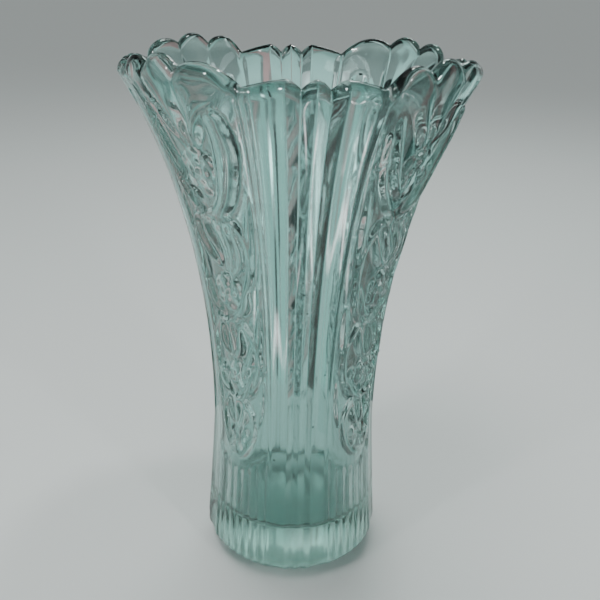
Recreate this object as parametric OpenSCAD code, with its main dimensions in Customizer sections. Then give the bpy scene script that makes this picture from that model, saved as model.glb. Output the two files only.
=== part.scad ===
// Tall pressed-glass vase with a waisted body and a scalloped rim.
// Four plain fluted panels alternate with four flower panels round the body.
// All of it is one piece of glass. The nodes are the regions that its mould forms.
// Angles run round the vase from the front, -Y, towards the right, +X.

/* [Overall] */
// Height to the tops of the flower panels' middle lobes
vase_h = 256; // [246:1:266]
// Outer radius at the rim
rim_r = 78.2; // [74:0.2:82]
// Outer radius at the waist, the narrowest part
waist_r = 40.3; // [38:0.1:43]
// Height of the waist above the table
waist_z = 75; // [65:1:85]

/* [Foot] */
// Outer radius of the heel, the widest part of the foot
heel_r = 44.6; // [43.5:0.1:48]
// Height of the heel above the table
heel_z = 10; // [8:0.5:14]
// Outer radius of the flat ring that the vase stands on
foot_r = 35.5; // [34.5:0.5:38]
// Inner radius of that ring, where the underside's recess starts
recess_r = 32; // [24:0.5:33]
// Depth of the recess at its middle
recess_depth = 2.5; // [1:0.5:4]
// Height of the inside floor, which is the thickness of the glass there
floor_z = 27; // [22:0.5:30]
// Radius of the round corner between the floor and the wall inside
floor_fillet = 5; // [4:0.5:10]

/* [Wall] */
// Thickness of the wall at the waist
waist_wall = 6.6; // [5.5:0.1:7.5]
// Thickness of the wall at the rim
rim_wall = 5.6; // [4.5:0.1:6.5]
// Height over which the rim's edge is rounded
lip_h = 4; // [3:0.25:5]

/* [Fluted panels] */
// Drop from the top of the vase to the fluted panels' crests
flute_crest_drop = 6; // [5:0.5:8]
// Drop from the top of the vase to the valleys between them
flute_valley_drop = 9.7; // [9:0.1:12]
// Angle from a panel's middle to its outer crests, in degrees
flute_crest_angle = 8.4; // [8:0.1:9]
// Depth of the grooves below the smooth body, at the rim
flute_depth = 1.6; // [0.8:0.1:2]

/* [Flower panels] */
// Height at which the ribbed skirt ends and the flowers begin
skirt_z = 62; // [56:1:66]
// Ribs under each flower panel
skirt_ribs = 8; // [4:1:10]
// How far a rib's crest stands proud of the body
rib_h = 0.5; // [0.3:0.1:0.8]
// How far the flowers stand proud of the wall
relief_h = 1.8; // [1.2:0.1:2.4]

/* [Hidden] */
SIDES = ["front", "right", "back", "left"];
CORNERS = ["front_right", "back_right", "back_left", "front_left"];

glass = [0.62, 0.76, 0.72, 0.6];
relief_glass = [0.72, 0.86, 0.82, 0.8];

// Half-widths of the two kinds of panel, in degrees. Together they fill a quarter turn.
flute_half = 21;
flower_half = 24;
// Height of the level joint between the solid foot and the walls
split_z = 38;
// Depth of the grooves between the lobes at the rim, and the height over which they fade out below it
lobe_groove = 1.6;
lobe_fade = 34;
// Angle from a fluted panel's middle to its wide outer facets
flute_facet_angle = 12.7;

// Valleys and peaks of the three lobes on a flower panel, in degrees from its middle
lobe_valleys = [-24, -10, 4, 24];
lobe_peaks = [-16, -3, 11];
lobe_peak_drops = [1.8, 0, 1.8];
lobe_valley_drops = [9.7, 5, 4.4, 9.7];

// ---- the body's outline ----

function soft_min(a, b) = -ln(exp(-a) + exp(-b));

// Share of the way from the waist to the rim's radius, at t of the height between them
function flare(t) = 0.88 * pow(t, 2.2) + 0.12 * pow(t, 8);

// Outer radius of the smooth body at height z, above the heel
function body_r(z) = z < waist_z
    ? waist_r + (heel_r - waist_r) * pow((waist_z - z) / (waist_z - heel_z), 1.15)
    : soft_min(
        waist_r + (rim_r - waist_r) * 1.065 * flare((z - waist_z) / (vase_h - 6 - waist_z)),
        rim_r
    );

function wall_t(z) = z < waist_z
    ? waist_wall
    : waist_wall + (rim_wall - waist_wall) * (z - waist_z) / (vase_h - waist_z);

function inner_r(z) = body_r(z) - wall_t(z);

// Relief is shallower where the body is narrower
function relief_scale(z) = body_r(z) / rim_r;

// ---- fluted panels ----

flute_groove_angle = flute_crest_angle / 2;
flute_angles = [
    for (a = [-flute_half, -17, -flute_facet_angle]) a,
    for (i = [-4 : 4]) i * flute_crest_angle / 4,
    for (a = [flute_facet_angle, 17, flute_half]) a
];

function flute_rim_z(a) = vase_h - lookup(abs(a), [
    [0, flute_crest_drop],
    [flute_groove_angle, flute_valley_drop],
    [flute_crest_angle, flute_crest_drop],
    [flute_half, flute_valley_drop]
]);

function flute_r(a, z) = body_r(z) + flute_depth * relief_scale(z) * lookup(abs(a), [
    [0, 0.6],
    [flute_groove_angle, -1],
    [flute_crest_angle, 0.7],
    [flute_facet_angle, -0.3],
    [flute_half, -1]
]);

// ---- flower panels ----

flower_angles = [for (a = [-flower_half : 2 : flower_half]) a];

function lobe_of(a) = a < lobe_valleys[1] ? 0 : a < lobe_valleys[2] ? 1 : 2;

// 0 on a lobe's peak line, 1 in the valleys beside it
function lobe_side(a) = let (
        i = lobe_of(a),
        p = lobe_peaks[i],
        valley = a < p ? lobe_valleys[i] : lobe_valleys[i + 1]
    ) abs(a - p) / abs(valley - p);

function lobe_rim_z(a) = let (
        i = lobe_of(a),
        peak = lobe_peak_drops[i],
        valley = lobe_valley_drops[a < lobe_peaks[i] ? i : i + 1]
    ) vase_h - peak - (valley - peak) * pow(lobe_side(a), 2.2);

function flower_r(a, z) = body_r(z)
    - lobe_groove * pow(lobe_side(a), 3) * max(0, min(1, 1 - (vase_h - z) / lobe_fade));

// ---- ribbed skirts ----

rib_pitch = 2 * flower_half / skirt_ribs;
skirt_angles = [for (i = [0 : 2 * skirt_ribs]) -flower_half + i * rib_pitch / 2];

function skirt_r(a, z) = body_r(z)
    + rib_h * (1 - 2 * abs((a + flower_half) / rib_pitch % 1 - 0.5)) - rib_h / 2;

// ---- wall solids ----

// Heights of the rings of points up a wall, as shares of its height
last_row = 11;
rows = [for (i = [0 : last_row]) pow(i / last_row, 0.85)];

// A wall's section at one angle: up the outside, over the rounded lip and down the inside
function lip_section(top, r_out, r_in) = let (mid = (r_out + r_in) / 2, half = (r_out - r_in) / 2) [
    for (t = [25 : 32.5 : 155]) [mid + half * cos(t), top - lip_h + lip_h * sin(t)]
];

// The panel starts at height low and its rounded lip ends at height top
function wall_section(outer_r, a, low, top) = let (
        edge = top - lip_h,
        heights = [for (s = rows) low + (edge - low) * s]
    ) concat(
        [for (z = heights) [outer_r(a, z), z]],
        lip_section(top, outer_r(a, edge), inner_r(edge)),
        [for (i = [last_row : -1 : 0]) [inner_r(heights[i]), heights[i]]]
    );

function skirt_section(a) = concat(
    [for (z = [split_z, (split_z + skirt_z) / 2, skirt_z]) [skirt_r(a, z), z]],
    [for (z = [skirt_z, (split_z + skirt_z) / 2, split_z]) [inner_r(z), z]]
);

// Triangles that close one end of a wall. They run like rungs between its two faces.
function end_cap(n) = [
    for (k = [0 : floor(n / 2) - 1]) let (opposite = n - 1 - k) each concat(
        k < opposite - 1 ? [[k, opposite, opposite - 1]] : [],
        k + 1 < opposite - 1 ? [[k, opposite - 1, k + 1]] : []
    )
];

// A solid through one closed section per angle. A section point is [radius, height].
module swept_wall(angles, sections) {
    n = len(sections[0]);
    last = (len(angles) - 1) * n;
    points = [
        for (i = [0 : len(angles) - 1]) for (p = sections[i])
            [p[0] * sin(angles[i]), -p[0] * cos(angles[i]), p[1]]
    ];
    sides = [
        for (i = [0 : n : last - n]) for (j = [0 : n - 1])
            let (a = i + j, b = i + (j + 1) % n) each [[a, b, b + n], [a, b + n, a + n]]
    ];
    first_cap = end_cap(n);
    last_cap = [for (t = first_cap) [last + t[2], last + t[1], last + t[0]]];
    polyhedron(points, concat(sides, first_cap, last_cap), convexity = 8);
}

module fluted_panel(i) {
    color(glass) rotate([0, 0, 90 * i])
        swept_wall(flute_angles, [
            for (a = flute_angles)
                wall_section(function(a, z) flute_r(a, z), a, split_z, flute_rim_z(a))
        ]);
}

module ribbed_skirt(i) {
    color(glass) rotate([0, 0, 45 + 90 * i])
        swept_wall(skirt_angles, [for (a = skirt_angles) skirt_section(a)]);
}

module flower_panel(i) {
    color(glass) rotate([0, 0, 45 + 90 * i])
        swept_wall(flower_angles, [
            for (a = flower_angles)
                wall_section(function(a, z) flower_r(a, z), a, skirt_z, lobe_rim_z(a))
        ]);
}

// ---- raised flowers ----

// Roses up a flower panel: [angle, height, radius]
roses = [[0.5, 211.5, 9], [1.7, 156, 8], [4.3, 115, 7], [2.6, 76, 6]];
rose_petals = 5;
// How far a rose's first petal is turned from upright, and each petal on itself, in degrees
rose_turn = 20;
petal_twist = 14;
// A petal's distance from its rose's middle, half-width and half-length, as shares of the rose's radius
petal_reach = 0.55;
petal_half_width = 0.38;
petal_half_length = 0.48;

// Leaves beside them, each a run of [angle, height, half-width]
leaves = [
    [[14, 230, 2.6], [15, 214, 3.4], [10, 198, 2]],
    [[-16, 229, 1.6], [-10, 203, 2]],
    [[-18.5, 220, 2.4], [-18.5, 214, 2.8]],
    [[19.8, 199, 0.9], [18.4, 178, 2]],
    [[-19.8, 200, 0.9], [-18.7, 180, 2]],
    [[-5, 185, 1.6], [-1, 171, 1.2]],
    [[3.7, 184, 2.2], [2.7, 169, 1.2]],
    [[13, 184, 2.2], [7, 169, 1.2]],
    [[19.5, 145, 0.9], [18, 127, 1.8]],
    [[-20.5, 144.5, 0.9], [-19.5, 126.5, 1.8]],
    [[8, 136, 1.8], [4, 126, 1]],
    [[-5, 137, 1.8], [0, 127, 1]],
    [[-14.4, 104, 1.2], [-4.4, 98, 1.6]],
    [[-4.3, 95, 1.6], [-0.3, 88, 1]],
    [[8, 95, 1.6], [4, 88, 1]]
];
// Sides of a petal's or leaf's rounded outline
bead_sides = 8;

function wall_lean(z) = atan((body_r(z + 1) - body_r(z - 1)) / 2);

// Turns and leans a piece so that it lies on the wall at an angle and height
module on_wall(a, z) {
    rotate([0, 0, a]) translate([0, -body_r(z), z]) rotate([wall_lean(z), 0, 0]) children();
}

module bead(half_width, half_length) {
    scale([half_width, relief_h, half_length]) sphere(1, $fn = bead_sides);
}

module rose(a, z, r) {
    on_wall(a, z) for (i = [0 : rose_petals - 1])
        rotate([0, 360 * i / rose_petals + rose_turn, 0])
        translate([0, 0, r * petal_reach])
        rotate([0, petal_twist, 0])
        bead(r * petal_half_width, r * petal_half_length);
}

module leaf(run) {
    for (i = [0 : len(run) - 2]) hull() {
        on_wall(run[i][0], run[i][1]) bead(run[i][2], run[i][2]);
        on_wall(run[i + 1][0], run[i + 1][1]) bead(run[i + 1][2], run[i + 1][2]);
    }
}

// What lies inside a flower panel's outer face
module flower_core() {
    swept_wall(flower_angles, [
        for (a = flower_angles) let (
            edge = lobe_rim_z(a) - lip_h,
            heights = [for (s = rows) skirt_z + (edge - skirt_z) * s]
        ) concat(
            [for (z = heights) [flower_r(a, z), z]],
            [for (i = [last_row : -1 : 0]) [waist_r / 2, heights[i]]]
        )
    ]);
}

module flower_relief(i) {
    color(relief_glass) rotate([0, 0, 45 + 90 * i]) difference() {
        union() {
            for (r = roses) rose(r[0], r[1], r[2]);
            for (run = leaves) leaf(run);
        }
        flower_core();
    }
}

// ---- solid foot ----

module base_block() {
    inside_r = inner_r(split_z);
    fillet = [
        for (t = [90 : -15 : 0])
            [inside_r - floor_fillet + floor_fillet * cos(t), floor_z + floor_fillet * (1 - sin(t))]
    ];
    recess = [for (s = [0 : 0.25 : 1]) [recess_r * s, recess_depth * (1 - s * s)]];
    heel = [[foot_r + 0.8, 2.6], [heel_r - 2.6, heel_z - 3.2], [heel_r - 0.5, heel_z - 0.6]];
    outside = [for (z = [heel_z + 2, 20, 29, split_z]) [body_r(z), z]];
    color(glass) rotate_extrude($fn = 96)
        polygon(concat(
            recess,
            [[foot_r, 0]],
            heel,
            outside,
            [[inside_r, split_z]],
            [for (i = [len(fillet) - 1 : -1 : 0]) fillet[i]],
            [[0, floor_z]]
        ));
}

base_block();
for (i = [0 : 3]) {
    fluted_panel(i);
    ribbed_skirt(i);
    flower_panel(i);
    flower_relief(i);
}
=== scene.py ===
"""A tall pressed-glass vase: fluted panels, panels of raised flowers, ribbed skirts and a scalloped rim.

The whole vase is one closed skin of glass, turned round the axis and modelled in height over the body.
Lengths are in millimetres until the mesh is made. Angles are in degrees and run round from the front,
-Y, towards +X. On a panel they are measured from its middle.
"""

import math

import bpy
import numpy as np
from mathutils import Matrix, Vector


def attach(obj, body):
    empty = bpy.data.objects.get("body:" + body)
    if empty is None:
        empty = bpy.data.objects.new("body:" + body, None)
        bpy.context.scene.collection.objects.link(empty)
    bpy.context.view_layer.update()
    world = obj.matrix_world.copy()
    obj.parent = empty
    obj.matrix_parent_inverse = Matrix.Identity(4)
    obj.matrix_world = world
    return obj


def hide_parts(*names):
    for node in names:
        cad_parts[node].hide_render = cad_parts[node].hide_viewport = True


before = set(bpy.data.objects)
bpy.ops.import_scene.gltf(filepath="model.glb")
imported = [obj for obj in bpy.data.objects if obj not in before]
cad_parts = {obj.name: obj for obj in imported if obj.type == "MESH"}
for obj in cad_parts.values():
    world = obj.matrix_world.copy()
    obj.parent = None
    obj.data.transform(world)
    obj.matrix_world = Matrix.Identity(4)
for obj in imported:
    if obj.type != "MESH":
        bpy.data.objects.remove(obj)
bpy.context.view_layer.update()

MM = 0.001

# ---- the body's sizes, as the CAD part has them ----

VASE_H = 256.0
RIM_R = 78.2
WAIST_R = 40.3
WAIST_Z = 75.0
HEEL_R = 44.6
HEEL_Z = 10.0
FOOT_R = 35.5
RECESS_R = 32.0
RECESS_DEPTH = 2.5
FLOOR_Z = 27.0
FLOOR_FILLET = 5.0
WAIST_WALL = 6.6
RIM_WALL = 5.6
# The flare aims past the rim's radius, where a soft limit holds it
RIM_OVERSHOOT = 1.065
# Drop from the top of the vase to the crests at the top of the fluted panels
FLUTE_CREST_DROP = 6
# Heights over which the rim's edge is rounded, outside and inside
LIP_OUT = 5.0
LIP_IN = 3.0
# Half-widths of the two kinds of panel. Together they fill a quarter turn.
FLUTE_HALF = 21.0
FLOWER_HALF = 24.0
# Angle of a flower panel's middle
FLOWER_MIDDLE = 45.0


def ramp(x, low, high):
    """0 at low, 1 at high, smooth between."""
    t = np.clip((x - low) / (high - low), 0, 1)
    return t * t * (3 - 2 * t)


def flare(t):
    """Share of the way from the waist's radius to the rim's, at a share of the height between them."""
    return 0.88 * t**2.2 + 0.12 * t**8


def body_r(z):
    """Outer radius of the smooth body."""
    z = np.asarray(z, float)
    low = WAIST_R + (HEEL_R - WAIST_R) * np.clip((WAIST_Z - z) / (WAIST_Z - HEEL_Z), 0, None) ** 1.15
    t = np.clip((z - WAIST_Z) / (VASE_H - FLUTE_CREST_DROP - WAIST_Z), 0, None)
    high = WAIST_R + (RIM_R - WAIST_R) * RIM_OVERSHOOT * flare(t)
    return np.where(z < WAIST_Z, low, -np.logaddexp(-high, -RIM_R))


def inner_r(z):
    """Inner radius of the wall, which is thinner towards the rim."""
    share = np.clip((np.asarray(z, float) - WAIST_Z) / (VASE_H - WAIST_Z), 0, 1)
    return body_r(z) - (WAIST_WALL + (RIM_WALL - WAIST_WALL) * share)


# ---- fluted panels ----

# Angles of the outer crests and of the sharp grooves beside the middle crest
FLUTE_CREST = 8.4
FLUTE_GROOVE = FLUTE_CREST / 2
# Drop from the crests at the rim to the valleys between them
FLUTE_VALLEY_DROP = 3.7
# The section across half a panel: angles, and heights over the body at the rim
FLUTE_ANGLES = (0, FLUTE_GROOVE, FLUTE_CREST, 12.7, 19.6, 20.4, FLUTE_HALF)
FLUTE_HEIGHTS = (1.0, -1.8, 1.2, -0.3, -1.1, -0.3, -1.4)


def flute_top(a):
    """Rounded scallops with sharp valleys between them."""
    off = np.abs(a)
    narrow = np.abs(off - np.where(off < FLUTE_GROOVE, 0, FLUTE_CREST)) / FLUTE_GROOVE
    wide = (off - FLUTE_CREST) / (FLUTE_HALF - FLUTE_CREST)
    fall = np.where(off < FLUTE_CREST, narrow**1.7, np.clip(wide, 0, 1) ** 1.3)
    return VASE_H - FLUTE_CREST_DROP - FLUTE_VALLEY_DROP * fall


def flute_relief(a, z):
    """Height over the body on a fluted panel, shallower where the body is narrower."""
    return np.interp(np.abs(a), FLUTE_ANGLES, FLUTE_HEIGHTS) * body_r(z) / RIM_R


# ---- the three lobes over a flower panel ----

LOBE_VALLEYS = (-24.0, -10.0, 4.0, 24.0)
LOBE_PEAKS = (-16.0, -3.0, 11.0)
LOBE_PEAK_DROPS = (1.8, 0.0, 1.8)
LOBE_VALLEY_DROPS = (9.7, 5.0, 4.4, 9.7)
# The point over the top rose where the lobes' petals meet, and the height from which they narrow
LOBE_ROOT_ANGLE = 1.5
LOBE_ROOT_Z = 219.0
LOBE_TOP_Z = VASE_H - 8
# How far the outer petals' outer edges swing in on the way down, and how far all of them stand proud
LOBE_LEFT_SWING = 22
LOBE_RIGHT_SWING = 20.5
LOBE_DOME = 2.4


def lobe_parts(a):
    """How far each angle is from its lobe's peak line to the valley beside it, and the drops of the two."""
    i = np.where(a < LOBE_VALLEYS[1], 0, np.where(a < LOBE_VALLEYS[2], 1, 2))
    peaks, valleys, drops = (np.array(v) for v in (LOBE_PEAKS, LOBE_VALLEYS, LOBE_VALLEY_DROPS))
    beside = np.where(a < peaks[i], i, i + 1)
    side = np.abs(a - peaks[i]) / np.abs(valleys[beside] - peaks[i])
    return side, np.array(LOBE_PEAK_DROPS)[i], drops[beside]


def flower_top(a):
    """Height of the rim over a flower panel."""
    side, peak, valley = lobe_parts(a)
    return VASE_H - peak - (valley - peak) * side**2.2


def lobe_petals(a, z):
    """The lobes as long domed petals that narrow down to a point over the top rose."""
    down = np.clip((LOBE_TOP_Z - z) / (LOBE_TOP_Z - LOBE_ROOT_Z), 0, 1)
    left = -FLOWER_HALF + LOBE_LEFT_SWING * down**0.9
    borders = [v + (LOBE_ROOT_ANGLE + v * 0.12 - v) * down**1.15 for v in LOBE_VALLEYS[1:3]]
    right = FLOWER_HALF - LOBE_RIGHT_SWING * down**0.8
    lines = [left, *borders, right]
    out = np.zeros_like(a)
    for low, high in zip(lines, lines[1:]):
        across = np.clip((2 * a - low - high) / (high - low), -1, 1)
        out = np.maximum(out, (1 - np.abs(across) ** 2.4) ** 0.75)
    return LOBE_DOME * out * ramp(z, LOBE_ROOT_Z - 1, LOBE_ROOT_Z + 9)


# ---- raised flowers: every run is a list of [angle, height] points ----

# Narrow beads that frame the four units
FRAMES = (
    [(-19.5, 228), (-16.5, 210), (-9.5, 196), (-2, 189.5)],
    [(4, 189), (12, 189), (17.6, 179), (17, 165), (12.5, 154), (7, 144), (0, 139.5)],
    [(-3, 189), (-11, 188), (-16.5, 176), (-16.5, 160), (-13.5, 146), (-7, 140), (0, 138.5)],
    [(10, 139), (17, 131), (19, 119), (14.5, 107), (6, 100), (0, 98)],
    [(-10, 139), (-17, 128), (-16.5, 114), (-11, 104), (0, 98)],
    [(7, 98), (13.5, 90), (12.5, 79), (7, 70), (1, 67)],
    [(-7, 98), (-13, 90), (-12, 79), (-6, 70), (1, 67)],
)
FRAME_WIDTHS = (1.4, 1.7, 1.4)
FRAME_HEIGHT = 1.9

# Petals that fan over each rose, with their half-widths
FAN_PETALS = (
    ([(4, 167), (6.5, 173), (5.5, 180), (1, 188)], 3.0),
    ([(5.5, 165.5), (9.5, 172), (9.5, 180), (6, 188)], 2.8),
    ([(7, 164), (12.8, 170), (13.6, 178), (11, 187)], 2.7),
    ([(2, 168), (0.5, 175), (-3, 181), (-6, 188)], 2.8),
    ([(0.5, 167), (-5.5, 172), (-10, 180), (-12, 186)], 2.4),
    ([(1, 121), (2, 128), (0, 137)], 2.6),
    ([(2.5, 121), (7, 127), (7, 136)], 2.4),
    ([(-0.5, 121), (-6, 127), (-7.5, 136)], 2.4),
    ([(1, 84), (1.5, 90), (0, 97)], 2.3),
    ([(2.5, 84), (6.5, 89), (7, 95)], 2.0),
    ([(-0.5, 84), (-5, 89), (-6.5, 95)], 2.0),
)

# The long curved leaf at the top, broad at its tip
LONG_LEAF = [(-2, 191), (6, 193.5), (11.5, 201), (14.5, 213), (15.6, 224), (14.5, 233)]
LONG_LEAF_WIDTHS = (1.8, 4.0, 5.2, 5.4, 4.4)
LONG_LEAF_HEIGHT = 3.2
LONG_LEAF_ROUNDNESS = 0.75

# Smaller leaves round the roses, with their half-widths
LEAVES = (
    ([(-3, 199), (-9, 206), (-13.5, 218), (-17.5, 233)], 2.6),
    ([(5, 143.5), (11.5, 148), (14, 158)], 2.8),
    ([(-3, 143), (-10, 147), (-13.5, 157)], 2.6),
    ([(10, 118), (14, 122), (15.5, 128)], 2.2),
    ([(-4, 102), (-10, 104), (-14.5, 112)], 2.6),
    ([(6, 103), (11, 106), (15, 114)], 2.4),
)

# Low narrow leaves up the right edge of the panel. Each has a mirrored one at the left edge.
EDGE_LEAVES = (
    [(18.7, 166), (18.7, 182), (20.5, 202)],
    [(17.5, 122), (19, 132), (20.5, 148)],
    [(17, 86), (18.5, 96), (20.5, 110)],
)
EDGE_LEAF_WIDTHS = (0.6, 1.9, 2.0, 0.5)
EDGE_LEAF_HEIGHT = 1.5

# Middles and radii of the four roses and of the buds
ROSES = (((1, 210.5), 10.0), ((2, 155), 8.6), ((4, 112.5), 7.0), ((2, 77), 7.0))
ROSE_HEIGHT = 3.0
BUDS = (((-17.8, 217.5), 3.4), ((-9.5, 113), 2.6), ((20.3, 117), 2.4))
BUD_HEIGHT = 2.2

# Half-widths of a petal from its root to its tip, as shares of its widest
PETAL_WIDTHS = (0.3, 0.9, 1.0, 0.5)
PETAL_HEIGHT = 2.6
# Powers that say how round a bead's section is and how much lower it is where it is narrower
BEAD_ROUNDNESS = 0.62
BEAD_TAPER = 0.6
# A rose's whorls: radius as a share of the rose's, number of petals, and height as a share of the rose's
WHORLS = ((0.95, 6, 0.85), (0.55, 4, 1.0))
# How much taller than wide a rose is, and its button's radius as a share of its own
ROSE_STRETCH = 1.1
ROSE_BUTTON = 0.2
# The whole pattern's height as a multiple of the heights above
FLOWER_RISE = 1.12
# Share of its height that the pattern loses towards the rim, and the heights between which it does
RELIEF_LOSS = 0.75
RELIEF_FADE = (226, 252)


def mm_per_degree(z):
    """Width of one degree of the body at a height."""
    return math.radians(1) * float(body_r(z))


def run_of(points, steps=7):
    """More points along a smooth curve through the given ones."""
    pts = np.array(points, float)
    padded = np.vstack([2 * pts[0] - pts[1], pts, 2 * pts[-1] - pts[-2]])
    out = []
    for p0, p1, p2, p3 in zip(padded, padded[1:], padded[2:], padded[3:]):
        for t in np.arange(steps) / steps:
            bend = 2 * p0 - 5 * p1 + 4 * p2 - p3 + t * (3 * (p1 - p2) + p3 - p0)
            out.append(p1 + 0.5 * t * (p2 - p0 + t * bend))
    return np.array(out + [pts[-1]])


def bead(a, z, points, widths, height, roundness=BEAD_ROUNDNESS):
    """A rounded bead along a smooth run of points, with half-widths spread evenly along it.

    It is lower where it is narrower.
    """
    pts = run_of(points)
    scale = mm_per_degree(pts[:, 1].mean())
    w = np.interp(np.linspace(0, 1, len(pts)), np.linspace(0, 1, len(widths)), widths)
    best = np.zeros_like(a)
    for (a0, z0), (a1, z1), w0, w1 in zip(pts, pts[1:], w, w[1:]):
        dx, dy = (a1 - a0) * scale, z1 - z0
        x, y = (a - a0) * scale, z - z0
        t = np.clip((x * dx + y * dy) / (dx * dx + dy * dy), 0, 1)
        here = w0 + (w1 - w0) * t
        d = np.hypot(x - t * dx, y - t * dy) / here
        dome = np.clip(1 - d * d, 0, None) ** roundness
        best = np.maximum(best, dome * (here / max(widths)) ** BEAD_TAPER)
    return best * height


def petal(a, z, points, half_width):
    """A smooth fat petal from its root to its tip."""
    return bead(a, z, points, [w * half_width for w in PETAL_WIDTHS], PETAL_HEIGHT)


def rose(a, z, centre, radius, height):
    """A round flower: two whorls of petals, one inside the other, round a button."""
    a0, z0 = centre
    x = (a - a0) * mm_per_degree(z0) / radius
    y = (z - z0) / (radius * ROSE_STRETCH)
    r, turn = np.hypot(x, y), np.arctan2(y, x)
    out = np.clip(1 - (r / ROSE_BUTTON) ** 2, 0, 1) ** 0.5
    for whorl, petals, share in WHORLS:
        wave = np.abs(np.sin(turn * petals / 2 + whorl * 3))
        edge = whorl * (0.86 + 0.2 * wave)
        inside = np.clip(1 - (r / edge) ** 8, 0, 1)
        cup = 0.25 + 0.75 * np.clip(r / edge, 0, 1) ** 1.5
        out = np.maximum(out, share * inside * cup * (0.5 + 0.5 * wave))
    return height * out


def flower_relief(a, z):
    """How far the flowers stand proud at each place on a flower panel."""
    pieces = [bead(a, z, points, FRAME_WIDTHS, FRAME_HEIGHT) for points in FRAMES]
    pieces += [petal(a, z, points, half_width) for points, half_width in FAN_PETALS + LEAVES]
    pieces.append(bead(a, z, LONG_LEAF, LONG_LEAF_WIDTHS, LONG_LEAF_HEIGHT, LONG_LEAF_ROUNDNESS))
    for run in EDGE_LEAVES:
        for side in (-1, 1):
            mirrored = [(side * across, up) for across, up in run]
            pieces.append(bead(a, z, mirrored, EDGE_LEAF_WIDTHS, EDGE_LEAF_HEIGHT))
    pieces += [rose(a, z, centre, radius, BUD_HEIGHT) for centre, radius in BUDS]
    pieces += [rose(a, z, centre, radius, ROSE_HEIGHT) for centre, radius in ROSES]
    return np.maximum.reduce(pieces)


# ---- flower panels and ribbed skirts ----

RIB_PITCH = 6.0
RIB_HEIGHT = 0.9
# How much the ribs grow towards the foot, and the heights between which they do
RIB_GROWTH = 0.2
RIB_GROWTH_HEIGHTS = (34, 14)
# How far a rib's top lies under the skirt's edge, and how much further at the rib's sides
RIB_TOP_GAP = 1.5
RIB_TOP_ROUND = 3.5
# The skirt's top edge: its height in the middle, how much higher it is at the sides, and its half-thickness
SKIRT_TOP_Z = 61
SKIRT_SIDE_RISE = 9
SKIRT_EDGE = 0.6
# How far the ground between the ribs and between the flowers lies under the body
SKIRT_SINK = 0.6
FLOWER_SINK = 0.4
# Heights over which the flowers rise out of the skirt's edge
FLOWER_START = (64, 68)


def skirt_border(a):
    """Height where the skirt ends and the flowers begin."""
    return SKIRT_TOP_Z + SKIRT_SIDE_RISE * (a / FLOWER_HALF) ** 2


def flower_surface(a, z):
    """Height over the body on a flower panel and on the ribbed skirt below it."""
    across = (a + FLOWER_HALF) / RIB_PITCH % 1 * 2 - 1
    rib_top = skirt_border(a) - RIB_TOP_GAP - RIB_TOP_ROUND * across**2
    rib_height = RIB_HEIGHT + RIB_GROWTH * ramp(z, *RIB_GROWTH_HEIGHTS)
    rib = rib_height * np.sqrt(np.clip(1 - across**2, 0, 1)) - SKIRT_SINK
    skirt = np.where(z < rib_top, rib, -SKIRT_SINK)
    above = ramp(z, skirt_border(a) - SKIRT_EDGE, skirt_border(a) + SKIRT_EDGE)
    flowers = np.maximum(flower_relief(a, z) * ramp(z, *FLOWER_START), lobe_petals(a, z))
    shrink = 1 - RELIEF_LOSS * ramp(z, *RELIEF_FADE)
    return skirt * (1 - above) + above * (-FLOWER_SINK + flowers * FLOWER_RISE * shrink)


# ---- the skin: rings of points from the middle of the underside, up the outside and down the inside ----

# Half of a fluted panel's columns, closer together at its crests and grooves
FLUTE_COLUMNS = (0.4, 2.2, 3.8, 4.2, 4.6, 6.4, 8.0, 8.4, 8.8, 9.6, 11.4, 13.6, 15.8, 17.8, 19.6, 20.4)
FLOWER_COLUMNS = 66
WALL_ROWS = 188
# Height of the first row of the wall over the heel
WALL_START = 2.5
# Radii of the recess's rings, as shares of its own
RECESS_SHARES = (0.25, 0.5, 0.7, 0.85, 0.95, 1)
# Share of the way from the lip's inner edge to its outer one where its top is
LIP_CROWN = 0.42
# Angles of the rings round the lip and round the inside's corner
LIP_OUTER_TURNS = (22, 42, 62, 80)
LIP_INNER_TURNS = (98, 120, 142, 162, 180)
CORNER_TURNS = (15, 30, 45, 60, 75, 90)
INSIDE_ROWS = 22


def column_angles():
    """Angles of the skin's columns over one quarter turn, from a fluted panel's left edge."""
    right = list(FLUTE_COLUMNS)
    left = [-v for v in reversed(right)]
    flower = FLOWER_MIDDLE + np.linspace(-FLOWER_HALF, FLOWER_HALF, FLOWER_COLUMNS + 1)[:-1]
    return np.concatenate([[-FLUTE_HALF, *left, 0, *right], flower])


# The columns' angles in the first quarter turn, which of them are on its flower panel, their angles from
# their own panel's middle, and the rim's height at each
QUARTER = column_angles()
IS_FLOWER = QUARTER >= FLUTE_HALF
LOCAL = np.where(IS_FLOWER, QUARTER - FLOWER_MIDDLE, QUARTER)
TOP = np.where(IS_FLOWER, flower_top(LOCAL), flute_top(LOCAL))


def outer(z):
    """Outer radius at each column for a row of heights."""
    return body_r(z) + np.where(IS_FLOWER, flower_surface(LOCAL, z), flute_relief(LOCAL, z))


def underside_rings():
    """The recess, the ring that the vase stands on, the bevel and the heel."""
    rings = [(RECESS_R * share, RECESS_DEPTH * (1 - share**2)) for share in RECESS_SHARES]
    relief_z = HEEL_Z + 4.0
    relief = outer(np.full(len(QUARTER), relief_z)) - body_r(relief_z)
    # Radius, how much of the flutes' and ribs' relief there is, and height
    for radius, share, height in (
        (FOOT_R - 1.0, 0.7, 0),
        (FOOT_R + 0.3, 0.8, 0.7),
        (FOOT_R + 1.6, 0.9, 3.0),
        (HEEL_R - 3.2, 1, HEEL_Z - 4.0),
        (HEEL_R - 1.1, 1, HEEL_Z - 1.4),
        (HEEL_R - 0.4, 1, HEEL_Z),
    ):
        rings.append((radius + relief * share, height))
    return rings


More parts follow.
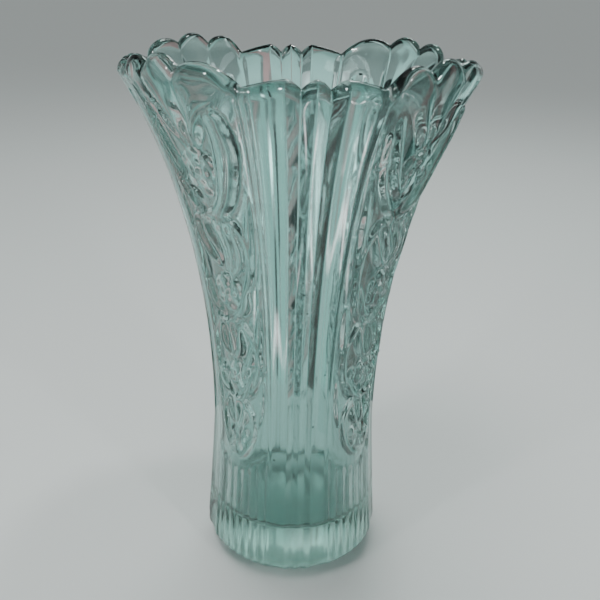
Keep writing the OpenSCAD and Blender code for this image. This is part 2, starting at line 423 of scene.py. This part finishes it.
def wall_rings():
    """The outside from the heel to the rim's rounded edge."""
    first, edge = HEEL_Z + WALL_START, TOP - LIP_OUT
    rows = [first + (edge - first) * share for share in np.linspace(0, 1, WALL_ROWS)]
    return [(outer(z), z) for z in rows]


def lip_rings():
    """The rim's rounded edge, over from the outside to the inside."""
    edge = TOP - LIP_OUT
    r_edge, r_in = outer(edge), inner_r(TOP - LIP_IN)
    r_crown = r_in + LIP_CROWN * (r_edge - r_in)
    rings = []
    for t in np.radians(LIP_OUTER_TURNS):
        rings.append((r_crown + (r_edge - r_crown) * np.cos(t), edge + LIP_OUT * np.sin(t)))
    for t in np.radians(LIP_INNER_TURNS):
        rings.append((r_crown + (r_crown - r_in) * np.cos(t), TOP - LIP_IN + LIP_IN * np.sin(t)))
    return rings


def inside_rings():
    """The inside down to its round corner, and the floor."""
    corner_z = FLOOR_Z + FLOOR_FILLET
    rings = []
    for share in np.linspace(0, 1, INSIDE_ROWS)[1:]:
        z = TOP - LIP_IN + (corner_z - TOP + LIP_IN) * share
        rings.append((inner_r(z), z))
    corner_r = float(inner_r(corner_z))
    for t in np.radians(CORNER_TURNS):
        rings.append((corner_r - FLOOR_FILLET * (1 - math.cos(t)), corner_z - FLOOR_FILLET * math.sin(t)))
    rings.append(((corner_r - FLOOR_FILLET) * 0.5, FLOOR_Z))
    return rings


def ring_points(radius, height):
    """One ring of points round the axis, in metres. The quarter turn's columns repeat four times."""
    angles = np.radians(np.concatenate([QUARTER + 90 * q for q in range(4)]))
    ones = np.ones(len(QUARTER))
    r, z = np.tile(radius * ones, 4), np.tile(height * ones, 4)
    return np.stack([r * np.sin(angles), -r * np.cos(angles), z], axis=1) * MM


def add_mesh(name, verts, faces):
    """A mesh object in the scene."""
    mesh = bpy.data.meshes.new(name)
    mesh.from_pydata(verts, [], faces)
    mesh.update()
    obj = bpy.data.objects.new(name, mesh)
    bpy.context.scene.collection.objects.link(obj)
    return obj


def add_attribute(mesh, name, values):
    """A number at each point of a mesh, which its material reads."""
    mesh.attributes.new(name, "FLOAT", "POINT").data.foreach_set("value", values.astype(np.float32))


# Extra roughness inside, on the lip, at the worn heel, and where water has left scale
INSIDE_HAZE = 0.065
LIP_HAZE = 0.05
HEEL_HAZE = 0.2
SCALE_HAZE = 0.14
# Heights where the heel's wear and the scale begin, and where they are full
WEAR_HEIGHTS = (34, 8)
SCALE_HEIGHTS = (80, 52)


def build_skin():
    """The closed skin, with its haze and with a mark on the lip for the painted shade that darkens it."""
    outside, lip = underside_rings() + wall_rings(), lip_rings()
    rings = outside + lip + inside_rings()
    middles = np.array([[0, 0, RECESS_DEPTH], [0, 0, FLOOR_Z]]) * MM
    verts = np.concatenate([ring_points(r, z) for r, z in rings] + [middles])
    n = 4 * len(QUARTER)
    faces = []
    for i in range(len(rings) - 1):
        lo, hi = i * n, (i + 1) * n
        faces += [(lo + j, lo + (j + 1) % n, hi + (j + 1) % n, hi + j) for j in range(n)]
    under, floor_middle = len(verts) - 2, len(verts) - 1
    last = (len(rings) - 1) * n
    faces += [(under, (j + 1) % n, j) for j in range(n)]
    faces += [(last + j, last + (j + 1) % n, floor_middle) for j in range(n)]
    obj = add_mesh("glass_vase", verts.tolist(), faces)
    obj.data.shade_smooth()

    lip_start, inner_start = len(outside) * n, len(outside + lip) * n
    heights = verts[:, 2] / MM
    haze = np.zeros(len(verts), dtype=np.float32)
    haze[lip_start:inner_start] = LIP_HAZE
    haze[inner_start:] = INSIDE_HAZE
    # The middle of the underside comes after the inside's rings
    haze[under] = 0
    worn = HEEL_HAZE * ramp(heights, *WEAR_HEIGHTS)
    worn[inner_start:] = SCALE_HAZE * ramp(heights[inner_start:], *SCALE_HEIGHTS)
    add_attribute(obj.data, "haze", haze + worn)
    # Marks the lip's rings for the painted shade that darkens their tint
    lip_shade_mark = np.zeros(len(verts))
    lip_shade_mark[lip_start:inner_start] = 1
    add_attribute(obj.data, "lip", lip_shade_mark)
    return obj


# ---- the glass ----

GLASS_TINT = (0.60, 0.80, 0.775, 1)
# Painted shade: the lip's glass is tinted darker than the rest
LIP_PAINTED_SHADE = (0.30, 0.42, 0.40, 1)
SEED_TINT = (0.02, 0.03, 0.03, 1)
DEPTH_TINT = (0.55, 0.82, 0.74, 1)
DEPTH_DENSITY = 14
GLASS_IOR = 1.52
# The film's part of the roughness, where there is little of it and where there is most
FILM_ROUGHNESS = (0.02, 0.045)
# Seeds: cells to a metre, with a seed in each, and a seed's radius in cells
SEED_CELLS = 85
SEED_RADIUS = 0.045

# Where a Mix node keeps its two colours and its result
MIX_A = 6
MIX_B = 7
MIX_RESULT = 2


def link(tree, a, out, b, inp):
    """Join node a's output to node b's input."""
    tree.links.new(a.outputs[out], b.inputs[inp])


def add_noise(tree, coords, scale, detail):
    """Noise over the object's own coordinates."""
    noise = tree.nodes.new("ShaderNodeTexNoise")
    noise.inputs["Scale"].default_value = scale
    noise.inputs["Detail"].default_value = detail
    link(tree, coords, "Object", noise, "Vector")
    return noise


def add_mark(tree, name):
    """A mesh attribute as a number."""
    mark = tree.nodes.new("ShaderNodeAttribute")
    mark.attribute_name = name
    return mark


def add_film(tree, coords, shader):
    """Roughness: faint film and water marks, and the skin's own haze."""
    film = add_noise(tree, coords, 45, 6)
    rough = tree.nodes.new("ShaderNodeMapRange")
    rough.inputs["From Min"].default_value = 0.4
    rough.inputs["From Max"].default_value = 0.75
    rough.inputs["To Min"].default_value, rough.inputs["To Max"].default_value = FILM_ROUGHNESS
    link(tree, film, "Fac", rough, "Value")
    haze = add_mark(tree, "haze")
    total = tree.nodes.new("ShaderNodeMath")
    total.operation = "ADD"
    link(tree, rough, "Result", total, 0)
    link(tree, haze, "Fac", total, 1)
    link(tree, total, "Value", shader, "Roughness")


def add_waviness(tree, coords, shader):
    """The mould's slight waviness."""
    wave = add_noise(tree, coords, 90, 2)
    bump = tree.nodes.new("ShaderNodeBump")
    bump.inputs["Strength"].default_value = 0.015
    bump.inputs["Distance"].default_value = 0.001
    link(tree, wave, "Fac", bump, "Height")
    link(tree, bump, "Normal", shader, "Normal")


def add_tint(tree, coords, shader):
    """Colour: tiny dark seeds trapped in the tinted glass, and painted shade that darkens the lip."""
    cells = tree.nodes.new("ShaderNodeTexVoronoi")
    cells.inputs["Scale"].default_value = SEED_CELLS
    link(tree, coords, "Object", cells, "Vector")
    clear = tree.nodes.new("ShaderNodeMath")
    clear.operation = "GREATER_THAN"
    clear.inputs[1].default_value = SEED_RADIUS
    link(tree, cells, "Distance", clear, 0)
    tint = tree.nodes.new("ShaderNodeMix")
    tint.data_type = "RGBA"
    tint.inputs[MIX_A].default_value = SEED_TINT
    tint.inputs[MIX_B].default_value = GLASS_TINT
    link(tree, clear, "Value", tint, "Factor")
    # Painted shade: the lip's mark mixes the darker lip tint into the colour
    lip = add_mark(tree, "lip")
    lip_shade_mix = tree.nodes.new("ShaderNodeMix")
    lip_shade_mix.data_type = "RGBA"
    lip_shade_mix.inputs[MIX_B].default_value = LIP_PAINTED_SHADE
    link(tree, tint, MIX_RESULT, lip_shade_mix, MIX_A)
    link(tree, lip, "Fac", lip_shade_mix, "Factor")
    link(tree, lip_shade_mix, MIX_RESULT, shader, "Base Color")


def add_depth(tree):
    """The glass darkens and greens with depth."""
    depth = tree.nodes.new("ShaderNodeVolumeAbsorption")
    depth.inputs["Color"].default_value = DEPTH_TINT
    depth.inputs["Density"].default_value = DEPTH_DENSITY
    link(tree, depth, "Volume", tree.nodes["Material Output"], "Volume")


def glass_material():
    """Tinted glass that is clear inside and slightly uneven at its surface."""
    mat = bpy.data.materials.new("pressed_glass")
    mat.use_nodes = True
    tree = mat.node_tree
    shader = tree.nodes["Principled BSDF"]
    shader.inputs["Transmission Weight"].default_value = 1
    shader.inputs["IOR"].default_value = GLASS_IOR
    coords = tree.nodes.new("ShaderNodeTexCoord")
    add_film(tree, coords, shader)
    add_waviness(tree, coords, shader)
    add_tint(tree, coords, shader)
    add_depth(tree)
    return mat


vase = build_skin()
vase.data.materials.append(glass_material())
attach(vase, "root")
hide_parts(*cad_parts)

# ---- studio: floor and lamps, in metres ----

FLOOR_HALF = 40.0
MIDDLE_OF_VASE = (0, 0, 0.13)


def floor_material():
    """Pale and fully matt."""
    mat = bpy.data.materials.new("pale_floor")
    mat.use_nodes = True
    shader = mat.node_tree.nodes["Principled BSDF"]
    shader.inputs["Base Color"].default_value = (0.55, 0.58, 0.57, 1)
    shader.inputs["Roughness"].default_value = 0.9
    shader.inputs["Specular IOR Level"].default_value = 0
    return mat


def area_light(name, place, size, power, color=(1, 1, 1)):
    """A rectangular lamp that points at the vase."""
    data = bpy.data.lights.new(name, "AREA")
    data.shape = "RECTANGLE"
    data.size, data.size_y = size
    data.energy = power
    data.color = color
    obj = bpy.data.objects.new(name, data)
    bpy.context.scene.collection.objects.link(obj)
    obj.location = place
    obj.rotation_euler = (Vector(MIDDLE_OF_VASE) - Vector(place)).to_track_quat("-Z", "Y").to_euler()
    return obj


def sky_light():
    """A wide soft light from overhead, without an image of its own in the glass."""
    data = bpy.data.lights.new("sky_lamp", "SUN")
    data.energy = 1.5
    data.angle = math.radians(40)
    obj = bpy.data.objects.new("sky_lamp", data)
    bpy.context.scene.collection.objects.link(obj)
    obj.visible_glossy = False
    obj.rotation_euler = (math.radians(-25), math.radians(-15), 0)


floor = add_mesh(
    "floor",
    [(x * FLOOR_HALF, y * FLOOR_HALF, 0) for x, y in ((-1, -1), (1, -1), (1, 1), (-1, 1))],
    [(0, 1, 2, 3)],
)
floor.data.materials.append(floor_material())

key = area_light("key", place=(-0.3, -0.3, 1.25), size=(0.5, 0.5), power=6.5)
key.visible_glossy = False
area_light("back", place=(0.3, 0.8, 1.1), size=(0.5, 0.4), power=5, color=(0.9, 1, 0.98))
area_light("glint_right", place=(0.4, -0.62, 0.5), size=(0.05, 0.09), power=1.4)
area_light("glint_left", place=(-0.55, -0.45, 0.55), size=(0.05, 0.09), power=1.2)
area_light("small_top", place=(0.15, 0.1, 0.9), size=(0.08, 0.08), power=2)
sky_light()

# ---- studio: cards that only the glass sees, dark ones as painted shade and glowing ones as painted light, so that its edges read as darker or lighter lines ----


def card_material(name, colour, glow=0.0, soft=False):
    """A matt card, which is painted shade when dark and painted light when it glows. A soft one glows in
    its middle and fades out towards its edges.
    """
    mat = bpy.data.materials.new(name)
    mat.use_nodes = True
    tree = mat.node_tree
    shader = tree.nodes["Principled BSDF"]
    shader.inputs["Base Color"].default_value = (*colour, 1)
    shader.inputs["Roughness"].default_value = 0.9
    if glow:
        shader.inputs["Emission Color"].default_value = (*colour, 1)
        shader.inputs["Emission Strength"].default_value = glow
    if soft:
        coords = tree.nodes.new("ShaderNodeTexCoord")
        centred = tree.nodes.new("ShaderNodeMapping")
        centred.inputs["Location"].default_value = (-1, -1, -1)
        centred.inputs["Scale"].default_value = (2, 2, 2)
        link(tree, coords, "Generated", centred, "Vector")
        fade = tree.nodes.new("ShaderNodeTexGradient")
        fade.gradient_type = "SPHERICAL"
        link(tree, centred, "Vector", fade, "Vector")
        strength = tree.nodes.new("ShaderNodeMath")
        strength.operation = "MULTIPLY"
        strength.inputs[1].default_value = glow
        link(tree, fade, "Fac", strength, 0)
        link(tree, strength, "Value", shader, "Emission Strength")
    return mat


def add_card(name, corners, mat):
    """A flat card that the camera doesn't see and that throws no shadow."""
    obj = add_mesh(name, corners, [(0, 1, 2, 3)])
    obj.data.materials.append(mat)
    obj.visible_camera = False
    obj.visible_diffuse = False
    obj.visible_shadow = False


def upright_card(name, azimuth, width, low, height, mat):
    """A card that stands or hangs upright at an angle round the vase and faces it."""
    turn = math.radians(azimuth)
    side = Vector((math.cos(turn), math.sin(turn), 0)) * width / 2
    centre = Vector((math.sin(turn), -math.cos(turn), 0)) * CARD_DISTANCE
    left, right = centre - side, centre + side
    foot, head = Vector((0, 0, low)), Vector((0, 0, low + height))
    add_card(name, [left + foot, right + foot, right + head, left + head], mat)


def low_card(name, x, y, width, depth, mat):
    """A small card that lies low beside the vase, whose glow shows as a painted highlight on its flaring
    outside.
    """
    corners = ((-width, -depth), (width, -depth), (width, depth), (-width, depth))
    add_card(name, [(x + i / 2, y + j / 2, LOW_CARD_Z) for i, j in corners], mat)


# Dark and grey cards are painted shade, seen only through the glass
dark = card_material("painted_shade_card", (0.015, 0.02, 0.02))
grey_painted_shade = card_material("grey_painted_shade_card", (0.13, 0.16, 0.16))
# Rosy, aqua and pale cards glow as painted light, and the white ones as painted highlights, seen only
# through the glass
rosy_glow = card_material("rosy_glow_card", (0.62, 0.34, 0.35), 0.55)
aqua_glow = card_material("aqua_glow_card", (0.45, 0.62, 0.60), 0.48)
pale = card_material("pale_glow_card", (0.50, 0.66, 0.64), 0.56)
painted_highlight = card_material("painted_highlight_card", (1, 0.95, 0.97), 8, soft=True)

CARD_DISTANCE = 0.16
# Angle round the vase, width, height of the lower edge, height, and material
UPRIGHT_CARDS = (
    (180, 0.007, 0.12, 0.28, rosy_glow),
    (187, 0.024, 0, 0.4, pale),
    (173, 0.024, 0, 0.4, pale),
    (197, 0.010, 0.06, 0.17, painted_highlight),
    (202, 0.014, 0, 0.2, dark),
    (212, 0.045, 0, 0.22, rosy_glow),
    (225, 0.03, 0, 0.4, aqua_glow),
    (237, 0.026, 0, 0.2, dark),
    (165, 0.009, 0.06, 0.17, painted_highlight),
    (160, 0.014, 0, 0.2, dark),
    (153, 0.010, 0, 0.4, pale),
    (141, 0.08, 0, 0.22, dark),
    (126, 0.008, 0.02, 0.2, painted_highlight),
    (121.5, 0.008, 0, 0.12, rosy_glow),
    (111, 0.045, 0, 0.22, dark),
    (99, 0.02, 0, 0.4, pale),
    (88, 0.04, 0, 0.3, dark),
    (70, 0.03, 0, 0.3, rosy_glow),
    (40, 0.02, 0, 0.2, grey_painted_shade),
    (22, 0.02, 0, 0.2, grey_painted_shade),
    (5, 0.03, 0, 0.4, aqua_glow),
    (345, 0.03, 0, 0.2, grey_painted_shade),
    (332, 0.02, 0, 0.2, rosy_glow),
    (294, 0.03, 0, 0.2, dark),
    (280, 0.04, 0, 0.4, aqua_glow),
    (262, 0.03, 0, 0.2, rosy_glow),
    (250, 0.02, 0, 0.2, grey_painted_shade),
)
for number, spec in enumerate(UPRIGHT_CARDS):
    upright_card(f"card_{number}", *spec)

LOW_CARD_Z = 0.002
# Bright glowing cards whose images in the glass are painted glints
painted_glint = card_material("painted_glint_card", (1, 0.98, 0.99), 16, soft=True)
# Middle across and along the floor, width and depth
LOW_CARDS = (
    (0.188, -0.150, 0.012, 0.05),
    (0.210, -0.122, 0.010, 0.03),
    (-0.175, -0.137, 0.008, 0.04),
    (-0.123, -0.165, 0.014, 0.04),
)
for number, spec in enumerate(LOW_CARDS):
    low_card(f"low_card_{number}", *spec, painted_glint)

# ---- studio: the surroundings ----

# Height of the direction, from level at 0 to straight up at 1, and the colour seen there
WORLD_STOPS = (
    (0.0, (0.50, 0.53, 0.53)),
    (0.12, (0.46, 0.50, 0.50)),
    (0.35, (0.16, 0.19, 0.19)),
    (1.0, (0.10, 0.12, 0.12)),
)
WORLD_STRENGTH = 0.93


def studio_world():
    """Light surroundings near the horizon and dim ones overhead."""
    world = bpy.data.worlds.new("studio")
    bpy.context.scene.world = world
    world.use_nodes = True
    tree = world.node_tree
    coords = tree.nodes.new("ShaderNodeTexCoord")
    split = tree.nodes.new("ShaderNodeSeparateXYZ")
    link(tree, coords, "Generated", split, "Vector")
    shades = tree.nodes.new("ShaderNodeValToRGB")
    stops = shades.color_ramp.elements
    while len(stops) < len(WORLD_STOPS):
        stops.new(1)
    for stop, (position, colour) in zip(stops, WORLD_STOPS):
        stop.position = position
        stop.color = (*colour, 1)
    link(tree, split, "Z", shades, "Fac")
    link(tree, shades, "Color", tree.nodes["Background"], "Color")
    tree.nodes["Background"].inputs["Strength"].default_value = WORLD_STRENGTH


studio_world()

# ---- camera: above and in front, a little to the left ----

# Level distance from the vase's axis, and height above the floor
CAM_DISTANCE = 344.35
CAM_HEIGHT = 281.9
# How far it stands round to the left, how far it looks down, and how far it leans
CAM_TURN = math.radians(4.29)
CAM_PITCH = math.radians(22.92)
CAM_ROLL = math.radians(1.357)

camera_data = bpy.data.cameras.new("camera")
camera_data.lens = 45.7
camera_data.sensor_width = 36
camera_data.shift_x = 0.0069
camera_data.clip_start = 0.01
camera = bpy.data.objects.new("camera", camera_data)
bpy.context.scene.collection.objects.link(camera)
stand = Vector((-CAM_DISTANCE * math.sin(CAM_TURN), -CAM_DISTANCE * math.cos(CAM_TURN), CAM_HEIGHT))
camera.matrix_world = (
    Matrix.Translation(stand * MM)
    @ Matrix.Rotation(-CAM_TURN, 4, "Z")
    @ Matrix.Rotation(math.pi / 2 - CAM_PITCH, 4, "X")
    @ Matrix.Rotation(CAM_ROLL, 4, "Z")
)
bpy.context.scene.camera = camera
